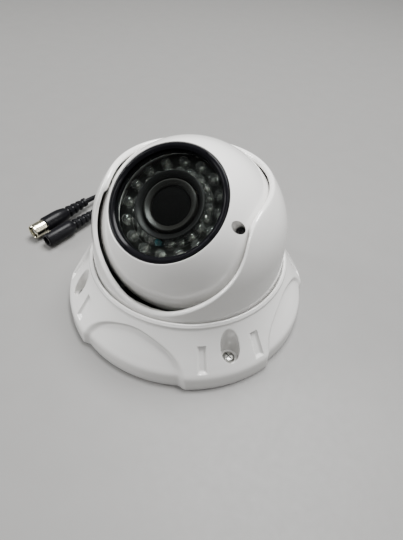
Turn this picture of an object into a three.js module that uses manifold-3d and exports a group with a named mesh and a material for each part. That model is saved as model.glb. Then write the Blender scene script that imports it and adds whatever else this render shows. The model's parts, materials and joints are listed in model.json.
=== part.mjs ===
// Dome security camera: a varifocal camera ball with a ring of infrared lamps, held in a
// turning hooded yoke on a scalloped base, with its tail cable and its two plugs.
// Millimetres. Origin at the middle of the base's underside, +Z up, -Y towards the front.

import * as THREE from "three";
import { mergeVertices } from "three/addons/utils/BufferGeometryUtils.js";
import Module from "manifold-3d";

const wasm = await Module();
wasm.setup();

// ---------- driving dimensions ----------

const CLEARANCE = 0.3; // between pieces that touch

// Base
const SCALLOPS = 4; // at the front, the back and the two sides
const ZONE_ANGLES = [46.8, 133.2, 226.8, 313.2]; // degrees from the front to each cover screw
const FLANK = [
  // radius and height of the base's outside, from the floor to the lip
  [70.0, 0.0],
  [69.8, 3.5],
  [69.1, 8.0],
  [66.6, 12.2],
  [62.3, 18.6],
  [58.2, 25.0],
  [56.1, 28.4],
  [55.2, 30.0],
  [55.0, 31.4],
  [54.3, 32.3],
];
const SCALLOP_DEPTH = 2.2;
const SCALLOP_HALF_ANGLE = 26.4;
const SCALLOP_HEIGHT = 27.0;
const LIP_RADIUS = 53.0; // the hole that the yoke turns in
const LIP_BOTTOM = 28.2;
const POCKET = { radius: 5.0, distance: 61.1, floor: 10.0, wall: 2.0, floorWall: 2.2 };
const SLOT = { angle: 13.5, width: 3.9, bottom: 10.6, top: 22.5, depth: 1.7 };
const PLATE = { radius: 63.4, thickness: 2.2, hole: 20.0 };
const POST = { radius: 3.9, bore: 2.0, top: 7.5 };
const GROMMET = { radius: 4.4, height: 5.2, inner: 59.5, outer: 67.4 };

// Yoke
const YOKE_TURN = 4.0; // degrees that the yoke is turned from the base's front
const YOKE_RADIUS = 51.6; // outside, at the ball's equator
const YOKE_SKIRT_RADIUS = 52.4;
const YOKE_INSIDE = 49.2;
const YOKE_LIP = { radius: 47.8, from: 29.0, to: 31.5 }; // the arms' inner lip, by elevation
const YOKE_BOTTOM = 24.6;
const YOKE_FLANGE = { radius: 54.3, top: 26.8 };
const RIM = [
  // angle from the yoke's front, and the rim's elevation seen from the ball's centre
  [0, -15.2],
  [10, -14.2],
  [18, -11.6],
  [26, -7.6],
  [33, -3.2],
  [39, 1.8],
  [44, 7.0],
  [49, 13.4],
  [53, 20.0],
  [57, 27.4],
  [61, 32.0],
  [67, 35.4],
  [76, 37.6],
  [92, 38.6],
  [130, 38.0],
  [180, 36.0],
];
const RIM_TAPER = 0.02; // the hood leans in by this many millimetres for each degree up

// Ball
const BALL_HEIGHT = 48.4; // its centre above the floor
const BALL_RADIUS = 47.0;
const BALL_WALL = 2.6;
const REAR_RADIUS = 46.6; // the rear shell stands a little inside the front one
const LENS_TURN = -6.4; // degrees that the lens is turned from the base's front
const LENS_TILT = 36.0; // degrees from straight up to the lens axis
const FACE = 36.6; // the trim ring's face, along the lens axis from the ball's centre
const TRIM = { radius: 29.3, window: 26.4, bottom: 35.1 };
const GLASS = { radius: 27.6, top: 34.8, bottom: 33.1 };
const LAMP = { radius: 2.65, tip: 31.0, plate: 24.9 };
const LAMP_RINGS = [
  { name: "lamp_ring_outer", distance: 23.5, lamps: 16, start: 60, skipFirst: false },
  { name: "lamp_ring_inner", distance: 18.1, lamps: 21, start: -82, skipFirst: true },
];
const LIGHT_SENSOR = { radius: 2.0, distance: 18.1, around: -82 };
const LAMP_BOARD = { inner: 15.0, outer: 28.6, top: 24.3, bottom: 22.7 };
const SIDE_SCREW = { distance: 35.1, around: [5, 185], hole: 2.7, floor: 23.4, column: 4.4 };
const LENS_RADIUS = 13.2;

// Tail cable
const CABLE_RADIUS = 2.4;
const LEAD_RADIUS = 1.7;
const SPLITTER = {
  centre: [-41.7, 114.8, 2.9],
  turn: 213.5,
  length: 19.6,
  thickness: 5.6,
  narrow: 3.2, // half its width where the cable enters
  wide: 4.6, // half its width where the two leads come out
};

// ---------- materials ----------

const paint = (color, roughness, metalness) =>
  new THREE.MeshStandardMaterial({ color, roughness, metalness });
const WHITE_PAINT = paint(0xe9e7e2, 0.22, 0.0);
const BLACK_GLOSS = paint(0x0c0c0e, 0.18, 0.0);
const BLACK_MATTE = paint(0x151515, 0.75, 0.0);
const RUBBER = paint(0x101010, 0.85, 0.0);
const STEEL = paint(0xa8a8a6, 0.3, 1.0);
const BLACK_STEEL = paint(0x1b1b1c, 0.4, 0.8);
const ZINC = paint(0xb4b4b0, 0.45, 0.9);
const CLEAR_GLASS = paint(0xbfc8cc, 0.03, 0.0);
const LAMP_RESIN = paint(0xd8dadb, 0.05, 0.0);
const SENSOR_BLUE = paint(0x1d5b66, 0.2, 0.0);
const GREEN_BOARD = paint(0x1d4a2c, 0.5, 0.0);
const DARK_BOARD = paint(0x141612, 0.5, 0.0);
const NICKEL = paint(0xc9c5b4, 0.22, 1.0);
const BRASS = paint(0xb8974e, 0.3, 1.0);
const NYLON = paint(0x1a1a1b, 0.6, 0.0);

// ---------- helpers ----------

const rad = THREE.MathUtils.degToRad;

function solidOf(geometry) {
  const bare = geometry.clone();
  bare.deleteAttribute("normal");
  bare.deleteAttribute("uv");
  const merged = mergeVertices(bare, 1e-4);
  return new wasm.Manifold(
    new wasm.Mesh({
      numProp: 3,
      vertProperties: merged.attributes.position.array,
      triVerts: new Uint32Array(merged.index.array),
    }),
  );
}

function geometryOf(solid) {
  const { vertProperties, triVerts } = solid.getMesh();
  const geometry = new THREE.BufferGeometry();
  geometry.setAttribute("position", new THREE.BufferAttribute(vertProperties, 3));
  geometry.setIndex(new THREE.BufferAttribute(triVerts, 1));
  geometry.computeVertexNormals();
  return geometry;
}

function cut(geometry, ...tools) {
  const left = tools.reduce((solid, tool) => solid.subtract(solidOf(tool)), solidOf(geometry));
  return geometryOf(left);
}

function join(geometry, ...others) {
  const whole = others.reduce((solid, other) => solid.add(solidOf(other)), solidOf(geometry));
  return geometryOf(whole);
}

function common(geometry, other) {
  return geometryOf(solidOf(geometry).intersect(solidOf(other)));
}

// A closed outline of [radius, height] points, turned about the Z axis.
function lathe(outline, segments = 28) {
  const area = outline.reduce((sum, [r, z], i) => {
    const [nextR, nextZ] = outline[(i + 1) % outline.length];
    return sum + r * nextZ - nextR * z;
  }, 0);
  const ordered = area > 0 ? outline : [...outline].reverse();
  const points = [...ordered, ordered[0]].map(([r, z]) => new THREE.Vector2(r, z));
  return new THREE.LatheGeometry(points, segments).rotateX(Math.PI / 2);
}

function disc(radius, bottom, top, segments = 24) {
  return new THREE.CylinderGeometry(radius, radius, top - bottom, segments)
    .rotateX(Math.PI / 2)
    .translate(0, 0, (bottom + top) / 2);
}

function ring(inner, outer, bottom, top, segments = 28) {
  const outline = [
    [inner, bottom],
    [outer, bottom],
    [outer, top],
    [inner, top],
  ];
  return lathe(outline, segments);
}

function box(width, depth, bottom, top) {
  return new THREE.BoxGeometry(width, depth, top - bottom).translate(0, 0, (bottom + top) / 2);
}

// Points on an arc about (0, centre), for an outline, from one angle above the horizontal to another.
function arc(radius, from, to, steps, centre = 0) {
  return Array.from({ length: steps + 1 }, (_, i) => {
    const angle = rad(from + ((to - from) * i) / steps);
    return [radius * Math.cos(angle), centre + radius * Math.sin(angle)];
  });
}

// A tube of even thickness along a smooth curve through the points.
function tube(points, radius, steps, sides = 8) {
  const path = new THREE.CatmullRomCurve3(
    points.map((p) => new THREE.Vector3(...p)),
    false,
    "centripetal",
  );
  const section = new THREE.Shape();
  for (let i = 0; i < sides; i += 1) {
    const angle = (2 * Math.PI * i) / sides;
    const [x, y] = [radius * Math.cos(angle), radius * Math.sin(angle)];
    if (i === 0) section.moveTo(x, y);
    else section.lineTo(x, y);
  }
  return new THREE.ExtrudeGeometry(section, { steps, extrudePath: path, bevelEnabled: false });
}

// A solid whose radius varies with height and with the angle about Z, with flat ends.
function turnedSolid(heights, radiusAt, segments) {
  const positions = [];
  const faces = [];
  heights.forEach((z, level) => {
    for (let i = 0; i < segments; i += 1) {
      const angle = (360 * i) / segments;
      const radius = radiusAt(angle, level);
      positions.push(radius * Math.sin(rad(angle)), -radius * Math.cos(rad(angle)), z);
    }
  });
  const top = heights.length - 1;
  const bottomCentre = positions.length / 3;
  positions.push(0, 0, heights[0], 0, 0, heights[top]);
  for (let i = 0; i < segments; i += 1) {
    const next = (i + 1) % segments;
    for (let level = 0; level < top; level += 1) {
      const [a, b] = [level * segments + i, level * segments + next];
      const [c, d] = [a + segments, b + segments];
      faces.push(a, b, d, a, d, c);
    }
    faces.push(bottomCentre, next, i);
    faces.push(bottomCentre + 1, top * segments + i, top * segments + next);
  }
  return shapeFrom(positions, faces);
}

// A hoop: one closed outline of [radius, height] points for each angle about Z.
function hoop(outlineAt, segments) {
  const positions = [];
  const faces = [];
  let count = 0;
  for (let i = 0; i < segments; i += 1) {
    const angle = (360 * i) / segments;
    const outline = outlineAt(angle);
    count = outline.length;
    for (const [radius, z] of outline) {
      positions.push(radius * Math.sin(rad(angle)), -radius * Math.cos(rad(angle)), z);
    }
  }
  for (let i = 0; i < segments; i += 1) {
    const next = (i + 1) % segments;
    for (let k = 0; k < count; k += 1) {
      const after = (k + 1) % count;
      const [a, b] = [i * count + k, i * count + after];
      const [c, d] = [next * count + k, next * count + after];
      faces.push(a, c, d, a, d, b);
    }
  }
  return shapeFrom(positions, faces);
}

function shapeFrom(positions, faces) {
  const geometry = new THREE.BufferGeometry();
  geometry.setAttribute("position", new THREE.Float32BufferAttribute(positions, 3));
  geometry.setIndex(faces);
  geometry.computeVertexNormals();
  return geometry;
}

// Smooth interpolation in a table of [x, y] rows.
function smooth(table, x) {
  const last = table.length - 1;
  const i = Math.min(Math.max(table.findIndex(([tx]) => tx >= x) - 1, 0), last - 1);
  const slope = (k) => {
    const [low, high] = [Math.max(k - 1, 0), Math.min(k + 1, last)];
    if (k === 0 || k === last) return 0;
    return (table[high][1] - table[low][1]) / (table[high][0] - table[low][0]);
  };
  const [x0, y0] = table[i];
  const [x1, y1] = table[i + 1];
  const h = x1 - x0;
  const t = (x - x0) / h;
  const s = 1 - t;
  return (
    y0 * s * s * (1 + 2 * t) +
    y1 * t * t * (1 + 2 * s) +
    slope(i) * h * t * s * s -
    slope(i + 1) * h * s * t * t
  );
}

const camera = new THREE.Group();

function add(name, geometry, material, parent = camera) {
  const mesh = new THREE.Mesh(geometry, material);
  mesh.name = name;
  parent.add(mesh);
  return mesh;
}

function group(parent, place = [0, 0, 0], turn = [0, 0, 0]) {
  const made = new THREE.Group();
  made.position.set(...place);
  made.rotation.set(...turn.map(rad));
  parent.add(made);
  return made;
}

// A group at a distance from the Z axis, with its own +X pointing outwards.
function spoke(parent, angle, distance = 0, height = 0) {
  const turned = group(parent, [0, 0, 0], [0, 0, angle - 90]);
  return group(turned, [distance, 0, height]);
}

// A screw with a cross recess: head upwards, the head's underside at height 0.
function screw(headRadius, headHeight, shankRadius, shankLength) {
  const outline = [
    [0, -shankLength],
    [shankRadius * 0.5, -shankLength],
    [shankRadius, -shankLength + shankRadius],
    [shankRadius, 0],
    [headRadius, 0],
    [headRadius, headHeight * 0.55],
    [headRadius * 0.75, headHeight],
    [0, headHeight],
  ];
  const slot = (width, depth) => box(width, depth, headHeight * 0.45, headHeight + 1);
  const crossLength = headRadius * 1.2;
  const crossWidth = headRadius * 0.3;
  return cut(lathe(outline, 8), slot(crossLength, crossWidth), slot(crossWidth, crossLength));
}

// ---------- base ----------

// How deep the scallop between two screw zones is, at an angle and a height.
function scallopDepth(angle, height) {
  const pitch = 360 / SCALLOPS;
  const fromMiddle = ((angle + pitch / 2) % pitch) - pitch / 2;
  const across = Math.abs(fromMiddle) / SCALLOP_HALF_ANGLE;
  const up = height / SCALLOP_HEIGHT;
  const inside = 1 - (across ** 1.4 + up ** 3.2); // an arch: 1 in its middle, 0 at its edge
  const edge = THREE.MathUtils.smoothstep(inside, 0.0, 0.2);
  return SCALLOP_DEPTH * edge * (1 - 0.3 * up);
}

// An upright round solid at a screw pocket's place.
function pocketSolid(radius, floor, angle, segments = 20) {
  return disc(radius, floor, 45, segments)
    .translate(POCKET.distance, 0, 0)
    .rotateZ(rad(angle - 90));
}

// A shallow slot that follows the slope of the base's side.
function slotSolid(angle) {
  const [lowRadius, highRadius] = [68.1, 59.7]; // the side's radius at the slot's two ends
  const shape = new THREE.Shape();
  shape.moveTo(lowRadius - SLOT.depth, SLOT.bottom);
  shape.lineTo(lowRadius + 9, SLOT.bottom);
  shape.lineTo(lowRadius + 9, SLOT.top);
  shape.lineTo(highRadius - SLOT.depth, SLOT.top);
  return new THREE.ExtrudeGeometry(shape, { depth: SLOT.width, bevelEnabled: false })
    .translate(0, 0, -SLOT.width / 2)
    .rotateX(Math.PI / 2)
    .rotateZ(rad(angle - 90));
}

function baseCover() {
  const heights = FLANK.map(([, z]) => z);
  const outside = turnedSolid(
    heights,
    (angle, level) => FLANK[level][0] - scallopDepth(angle, heights[level]),
    72,
  );
  const insideHeights = [-1, 8, 18.0, LIP_BOTTOM];
  const insideRadii = [67.2, 66.4, 59.9, 55.0];
  const inside = turnedSolid(
    insideHeights,
    (angle, level) => insideRadii[level] - scallopDepth(angle, Math.max(insideHeights[level], 0)),
    48,
  );
  const hollow = cut(outside, inside, disc(LIP_RADIUS, 20, 40, 48));
  const bosses = ZONE_ANGLES.map((angle) => {
    const boss = pocketSolid(
      POCKET.radius + POCKET.wall,
      POCKET.floor - POCKET.floorWall,
      angle,
    );
    return cut(common(boss, outside), disc(YOKE_FLANGE.radius + 0.6, 0, 60, 40));
  });
  const tools = ZONE_ANGLES.flatMap((angle) => [
    pocketSolid(POCKET.radius, POCKET.floor, angle),
    slotSolid(angle - SLOT.angle),
    slotSolid(angle + SLOT.angle),
    disc(POST.bore, 5, 20, 8)
      .translate(POCKET.distance, 0, 0)
      .rotateZ(rad(angle - 90)),
  ]);
  const cableNotch = join(
    disc(GROMMET.radius + CLEARANCE, 0, 20, 16).rotateX(-Math.PI / 2).translate(0, 55, GROMMET.height),
    box(2 * (GROMMET.radius + CLEARANCE), 20, -1, GROMMET.height).translate(0, 65, 0),
  );
  return cut(join(hollow, ...bosses), ...tools, cableNotch);
}

// The plate that stays on the wall or ceiling: posts for the cover's screws, holes for the wall's.
function mountingPlate() {
  const plate = ring(PLATE.hole, PLATE.radius, 0, PLATE.thickness, 40);
  const outwards = (geometry, angle, distance) =>
    geometry.translate(distance, 0, 0).rotateZ(rad(angle - 90));
  const posts = ZONE_ANGLES.map((angle) =>
    outwards(disc(POST.radius, 0, POST.top, 12), angle, POCKET.distance),
  );
  const bores = ZONE_ANGLES.map((angle) =>
    outwards(disc(POST.bore, PLATE.thickness, 20, 8), angle, POCKET.distance),
  );
  const wallHoles = [0, 120, 240].map((angle) =>
    outwards(disc(2.4, -1, 4, 20), angle, 42),
  );
  const cableGap = box(11, 16, -1, 4).translate(0, PLATE.radius - 3, 0);
  return cut(join(plate, ...posts), ...bores, ...wallHoles, cableGap);
}

function buildBase() {
  add("base_cover", baseCover(), WHITE_PAINT);
  add("mounting_plate", mountingPlate(), ZINC);
  const gasket = ring(46.5, 54.0, PLATE.thickness + CLEARANCE, 4.0, 36);
  add("base_gasket", gasket, RUBBER);
  ZONE_ANGLES.forEach((angle, i) => {
    const place = spoke(camera, angle, POCKET.distance, POCKET.floor + CLEARANCE);
    add(`cover_screw_${i + 1}`, screw(3.2, 1.9, 1.5, 7.4), STEEL, place);
  });
  const retainer = ring(YOKE_INSIDE + CLEARANCE, 54.6, 21.6, YOKE_BOTTOM - CLEARANCE, 40);
  const pockets = ZONE_ANGLES.map((angle) =>
    pocketSolid(POCKET.radius + POCKET.wall + CLEARANCE, 0, angle, 12),
  );
  add("retaining_ring", cut(retainer, ...pockets), ZINC);

  const back = group(camera, [0, GROMMET.inner, GROMMET.height], [-90, 0, 0]);
  const length = GROMMET.outer - GROMMET.inner;
  const grommet = lathe(
    [
      [0, 0],
      [GROMMET.radius + 1.4, 0],
      [GROMMET.radius + 1.4, 2.4],
      [GROMMET.radius, 2.4],
      [GROMMET.radius, length - 1.6],
      [GROMMET.radius - 1.2, length],
      [0, length],
    ],
    20,
  );
  add("cable_grommet", grommet, RUBBER, back);
}

// ---------- yoke ----------

// The rim's elevation at an angle from the yoke's own front.
function rimElevation(angle) {
  const folded = Math.abs(((angle + 180) % 360) - 180);
  return smooth(RIM, folded);
}

// A point on the yoke's outside or inside at an elevation seen from the ball's centre.
function yokePoint(elevation, outside) {
  if (elevation >= 0) {
    const lip = THREE.MathUtils.smoothstep(elevation, YOKE_LIP.from, YOKE_LIP.to);
    const radius = outside
      ? YOKE_RADIUS - RIM_TAPER * elevation
      : THREE.MathUtils.lerp(YOKE_INSIDE, YOKE_LIP.radius, lip);
    return [
      radius * Math.cos(rad(elevation)),
      BALL_HEIGHT + radius * Math.sin(rad(elevation)),
    ];
  }
  const spread = outside ? (YOKE_SKIRT_RADIUS - YOKE_RADIUS) * Math.min(-elevation / 16, 1) : 0;
  const radius = outside ? YOKE_RADIUS : YOKE_INSIDE;
  return [radius + spread, BALL_HEIGHT + radius * Math.tan(rad(elevation))];
}

function yokeOutline(angle) {
  const rim = rimElevation(angle);
  const low = -19; // just inside the base's lip
  const steps = 5;
  const shoulder = rim - 1.6; // where the rounded crown of the rim starts
  const rise = (i) => low + ((shoulder - low) * i) / steps;
  const outside = Array.from({ length: steps + 1 }, (_, i) => yokePoint(rise(i), true));
  const lipFoot = Math.max(Math.min(shoulder, YOKE_LIP.to), YOKE_LIP.from);
  const hasLip = shoulder > YOKE_LIP.from;
  const lip = hasLip ? [shoulder, lipFoot, YOKE_LIP.from] : [shoulder, shoulder - 1, shoulder - 2];
  const inside = [...lip, (lip[2] + low) / 2, low].map((elevation) => yokePoint(elevation, false));
  const crown = yokePoint(rim, true).map((value, i) => (value + yokePoint(rim, false)[i]) / 2);
  return [
    [YOKE_INSIDE, YOKE_BOTTOM],
    [YOKE_FLANGE.radius, YOKE_BOTTOM],
    [YOKE_FLANGE.radius, YOKE_FLANGE.top],
    [YOKE_SKIRT_RADIUS, YOKE_FLANGE.top + 0.6],
    ...outside,
    crown,
    ...inside,
  ];
}

function buildYoke() {
  const yoke = group(camera, [0, 0, 0], [0, 0, YOKE_TURN]);
  add("yoke_shell", hoop(yokeOutline, 60), WHITE_PAINT, yoke);

  // The seat that carries the ball from below is screwed to the yoke's foot by three arms.
  const carrier = join(
    ring(35.2, 42.5, 6.5, 9.0, 32),
    ring(45.4, YOKE_INSIDE - CLEARANCE, 15.5, 27.0, 32),
    ring(47.2, YOKE_INSIDE - CLEARANCE, 26.0, 32.2, 32),
    ...[60, 180, 300].map((angle) =>
      new THREE.ExtrudeGeometry(
        new THREE.Shape([
          new THREE.Vector2(40.5, 6.5),
          new THREE.Vector2(47.5, 15.5),
          new THREE.Vector2(47.5, 20.0),
          new THREE.Vector2(46.0, 20.0),
          new THREE.Vector2(40.0, 9.0),
        ]),
        { depth: 9, bevelEnabled: false },
      )
        .translate(0, 0, -4.5)
        .rotateX(Math.PI / 2)
        .rotateZ(rad(angle - 90)),
    ),
  );
  add("seat_carrier", carrier, ZINC, yoke);
}

// ---------- ball seat: a ring that turns on the carrier, with the ball resting in it ----------

// A shell between two spheres, from one angle to another measured from straight down.
function sphereZone(inside, outside, from, to, segments, steps) {
  const outline = [
    ...arc(outside, from - 90, to - 90, steps),
    ...arc(inside, to - 90, from - 90, steps),
  ];
  return lathe(outline, segments);
}

function buildSeat() {
  const turning = group(camera, [0, 0, 0], [0, 0, LENS_TURN]);
  const bearing = arc(BALL_RADIUS + CLEARANCE, -51, -60, 2, BALL_HEIGHT);
  const seat = lathe(
    [
      [23.65, 5.0],
      [34.6, 5.0],
      [34.6, 9.3],
      [38.5, 9.3],
      [38.5, 11.64],
      ...bearing,
    ],
    28,
  );
  add("seat_ring", seat, NYLON, turning);
}

// ---------- ball ----------

const swivelled = group(camera, [0, 0, BALL_HEIGHT], [0, 0, LENS_TURN]);
const ball = group(swivelled, [0, 0, 0], [LENS_TILT, 0, 0]); // its own +Z is the lens axis

// Carries a piece from the lens axis out to each side screw's place.
function atSideScrews(geometry) {
  return SIDE_SCREW.around.map((around) =>
    geometry.clone().translate(SIDE_SCREW.distance, 0, 0).rotateZ(rad(around)),
  );
}

function ballShells() {
  const inside = BALL_RADIUS - BALL_WALL;
  const ledge = { top: 31.3, bottom: 29.3, radius: 27.0 };
  const bore = TRIM.radius + CLEARANCE;
  const edge = Math.acos((bore + 0.8) / BALL_RADIUS);
  const front = lathe(
    [
      ...arc(BALL_RADIUS, 0.3, THREE.MathUtils.radToDeg(edge), 7),
      [bore, FACE - 0.3],
      [bore, ledge.top],
      [ledge.radius, ledge.top],
      [ledge.radius, ledge.bottom],
      ...arc(inside, THREE.MathUtils.radToDeg(Math.asin(ledge.bottom / inside)), 0.3, 3),
    ],
    48,
  );
  const filling = lathe(arc(BALL_RADIUS - 1, -90, 90, 12), 40);
  const columns = atSideScrews(disc(SIDE_SCREW.column, 9, 40, 14)).map((column) =>
    common(column, filling),
  );
  const holes = [
    ...atSideScrews(disc(SIDE_SCREW.hole, SIDE_SCREW.floor, 45, 16)),
    ...atSideScrews(disc(1.5, 5, 30, 10)),
  ];
  add("ball_front_shell", cut(join(front, ...columns), ...holes), WHITE_PAINT, ball);
  add("ball_rear_shell", sphereZone(inside, REAR_RADIUS, 11, 89.7, 48, 7), WHITE_PAINT, ball);
  const seal = ring(inside - 2, inside - 1, -3, 3, 36);
  add("ball_seal", seal, RUBBER, ball);
}

function sideScrews() {
  const upright = screw(2.3, 1.8, 1.2, 15).translate(0, 0, SIDE_SCREW.floor + CLEARANCE);
  atSideScrews(upright).forEach((geometry, i) => {
    add(`side_screw_${i + 1}`, geometry, BLACK_STEEL, ball);
  });
}

function frontWindow() {
  const trim = lathe(
    [
      [TRIM.radius, 31.6],
      [TRIM.radius, FACE - 0.5],
      [TRIM.radius - 0.5, FACE],
      [27.6, FACE],
      [TRIM.window, TRIM.bottom + 0.4],
      [TRIM.window, TRIM.bottom],
      [GLASS.radius + CLEARANCE, TRIM.bottom],
      [GLASS.radius + CLEARANCE, 31.6],
    ],
    36,
  );
  const notches = [-14, 76, 166, 256].map((angle) =>
    disc(0.45, FACE - 0.5, FACE + 1, 6)
      .translate(28.4, 0, 0)
      .rotateZ(rad(angle)),
  );
  add("trim_ring", cut(trim, ...notches), BLACK_GLOSS, ball);
  add("window_glass", disc(GLASS.radius, GLASS.bottom, GLASS.top, 36), CLEAR_GLASS, ball);
  const gasket = ring(26.2, GLASS.radius, 31.6, GLASS.bottom - CLEARANCE, 28);
  add("window_gasket", gasket, RUBBER, ball);
}

// One ring of infrared lamps on its thin holder.
function lampRing({ distance, lamps, start, skipFirst }) {
  const half = LAMP.radius * 0.6;
  const holder = ring(distance - half, distance + half, LAMP.plate, LAMP.plate + 0.8, 20);
  const lamp = lathe(
    [
      [0, LAMP.plate + 0.4],
      [LAMP.radius, LAMP.plate + 0.4],
      [LAMP.radius, LAMP.tip - LAMP.radius],
      [LAMP.radius * 0.6, LAMP.tip],
      [0, LAMP.tip],
    ],
    5,
  );
  const bodies = Array.from({ length: lamps }, (_, i) => start + (360 / lamps) * i)
    .slice(skipFirst ? 1 : 0)
    .map((angle) => lamp.clone().translate(distance, 0, 0).rotateZ(rad(angle)));
  return join(holder, ...bodies);
}

function lamps() {
  for (const row of LAMP_RINGS) add(row.name, lampRing(row), LAMP_RESIN, ball);
  const { inner, outer, bottom, top } = LAMP_BOARD;
  add("lamp_board", ring(inner, outer, bottom, top, 32), DARK_BOARD, ball);
  const sensor = lathe(
    [
      [0, LAMP.plate + 1.1],
      [LIGHT_SENSOR.radius, LAMP.plate + 1.1],
      [LIGHT_SENSOR.radius, 29.4],
      [1.3, 30.4],
      [0, 30.7],
    ],
    10,
  )
    .translate(LIGHT_SENSOR.distance, 0, 0)
    .rotateZ(rad(LIGHT_SENSOR.around));
  add("light_sensor", sensor, SENSOR_BLUE, ball);
}

function lensHood() {
  const hood = lathe(
    [
      [13.9, LAMP_BOARD.bottom],
      [14.7, LAMP_BOARD.bottom],
      [14.9, 31.3],
      [17.0, 31.9],
      [17.3, 32.8],
      [16.7, 32.8],
      [14.1, 30.6],
    ],
    26,
  );
  add("lens_hood", hood, BLACK_MATTE, ball);
}

// A lens ring with a short lever knob on it.
function leverRing(inner, outer, bottom, top, leverAngle) {
  const lever = disc(1.3, outer - 0.8, outer + 5, 8)
    .rotateY(Math.PI / 2)
    .translate(0, 0, (bottom + top) / 2)
    .rotateZ(rad(leverAngle));
  return join(ring(inner, outer, bottom, top, 24), lever);
}

const LENS = { barrel: 10.4, back: -7.0, front: 22.0 };

function lens() {
  const barrel = lathe(
    [
      [7.6, LENS.back],
      [LENS.barrel, LENS.back],
      [LENS.barrel, LENS.front],
      [8.6, LENS.front],
      [8.6, 4.0],
      [7.6, 4.0],
    ],
    20,
  );
  add("lens_barrel", barrel, BLACK_MATTE, ball);
  const hold = LENS.barrel + CLEARANCE;
  add("zoom_ring", leverRing(hold, 13.4, 0.5, 6.5, 90), BLACK_MATTE, ball);
  add("focus_ring", leverRing(hold, 13.4, 10.5, 17.5, 100), BLACK_MATTE, ball);
  const front = lathe(
    [
      [8.2, 24.0],
      [hold + 0.1, 24.0],
      [hold + 0.1, 18.2],
      [12.4, 18.2],
      [LENS_RADIUS, 20.0],
      [LENS_RADIUS, 31.6],
      [12.6, 32.4],
      [10.4, 31.2],
      [10.1, 29.6],
      [7.4, 29.6],
      [7.4, 26.0],
      [8.2, 26.0],
    ],
    24,
  );
  add("front_barrel", front, BLACK_MATTE, ball);
  const glass = lathe([[0, 27.0], [7.0, 27.0], [7.0, 29.9], [9.8, 29.9], ...arc(36, 74.2, 90, 2, -4.5)], 24);
  add("front_lens", glass, CLEAR_GLASS, ball);
  const rear = lathe([[0, -1.0], [6.9, -1.0], [6.9, 1.5], [0, 2.6]], 16);
  add("rear_lens", rear, CLEAR_GLASS, ball);
}

function electronics() {
  const holder = cut(
    box(23, 23, -13.5, LENS.back - CLEARANCE),
    box(17, 13, -14, -9.6),
    disc(6.0, -20, 0, 24),
    box(17, 30, -12.4, -10.0).translate(0, 8, 0),
  );
  add("lens_holder", holder, BLACK_MATTE, ball);
  const filter = box(15.4, 12.0, -12.0, -10.4);
  add("infrared_filter", filter, CLEAR_GLASS, ball);
  add("image_sensor", box(10, 9, -13.5, -12.5 + CLEARANCE - 0.3), DARK_BOARD, ball);
  const corner = 16.5;
  const corners = [45, 135, 225, 315].map((a) => [
    corner * Math.SQRT2 * Math.cos(rad(a)),
    corner * Math.SQRT2 * Math.sin(rad(a)),
  ]);
  const drill = (geometry, bottom, top) =>
    cut(geometry, ...corners.map(([x, y]) => disc(1.2, bottom - 1, top + 1, 8).translate(x, y, 0)));
  add("sensor_board", drill(box(38, 38, -15.4, -13.8), -15.4, -13.8), GREEN_BOARD, ball);
  add("power_board", drill(box(38, 38, -26.0, -24.4), -26.0, -24.4), GREEN_BOARD, ball);
  corners.forEach(([x, y], i) => {
    const post = disc(2.2, -24.4 + CLEARANCE, -15.4 - CLEARANCE, 10).translate(x, y, 0);
    add(`board_spacer_${i + 1}`, post, BRASS, ball);
  });
  const legs = [90, 210, 330].map((angle) =>
    box(4, 3, -13.8 + CLEARANCE, LAMP_BOARD.bottom - CLEARANCE)
      .translate(17.0, 0, 0)
      .rotateZ(rad(angle + 60)),
  );
  const bridge = ring(14.6, 19.2, 19.6, LAMP_BOARD.bottom - CLEARANCE, 40);
  add("lens_frame", join(bridge, ...legs), ZINC, ball);
}

// ---------- tail cable and plugs ----------

// Routes on the floor: from the grommet to the splitter, and on from there to each plug.
const MAIN_ROUTE = [
  [0, 67.7, 5.2],
  [0, 76, 5.0],
  [1.5, 85, 3.6],
  [8, 97, 2.6],
  [13, 109, 2.5],
  [9, 122, 2.5],
  [-3, 130, 2.5],
  [-17, 129.5, 2.6],
  [-33.1, 120.5, 2.9],
];
const VIDEO_ROUTE = [
  [-51.6, 111.0, 2.9],
  [-62, 104, 2.4],
  [-74, 95, 1.9],
  [-86, 82, 1.9],
  [-93, 67.5, 2.0],
  [-96.5, 53, 3.0],
  [-99.2, 41, 5.0],
  [-100.69, 33.7, 5.7],
];
const POWER_ROUTE = [
  [-49.1, 107.2, 2.9],
  [-59, 99.5, 2.4],
  [-69.5, 87, 1.9],
  [-77, 73, 1.9],
  [-82.5, 60, 1.9],
  [-84.5, 46, 2.8],
  [-86.3, 34.7, 4.5],
  [-87.83, 28.0, 5.0],
];

// Ribs that let a plug's tail bend: a taper with grooves cut round it.
function ribbedTail(from, to, thick, thin, ribs) {
  const outline = [
    [0, from],
    [thick, from],
  ];
  const pitch = (to - from) / ribs;
  for (let i = 0; i < ribs; i += 1) {
    const radius = thick + ((thin - thick) * i) / (ribs - 1);
    const start = from + pitch * i;
    outline.push([radius, start + pitch * 0.55]);
    outline.push([radius * 0.78, start + pitch * 0.6]);
    outline.push([radius * 0.78, start + pitch * 0.95]);
    if (i < ribs - 1) outline.push([radius * 0.98, start + pitch]);
  }
  outline.push([0, outline.at(-1)[1]]);
  return outline;
}

// A group on the floor whose +Z runs along a plug, from its tail to its mouth.
function plugGroup(tail, mouth) {
  const from = new THREE.Vector3(...tail);
  const along = new THREE.Vector3(...mouth).sub(from).normalize();
  const made = group(camera, tail);
  made.quaternion.setFromUnitVectors(new THREE.Vector3(0, 0, 1), along);
  return made;
}

const VIDEO_PLUG = { tail: [-100.75, 33.4, 5.7], mouth: [-109.8, -11.1, 5.9] };
const POWER_PLUG = { tail: [-87.9, 27.7, 5.0], mouth: [-97.4, -12.6, 5.1] };

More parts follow.
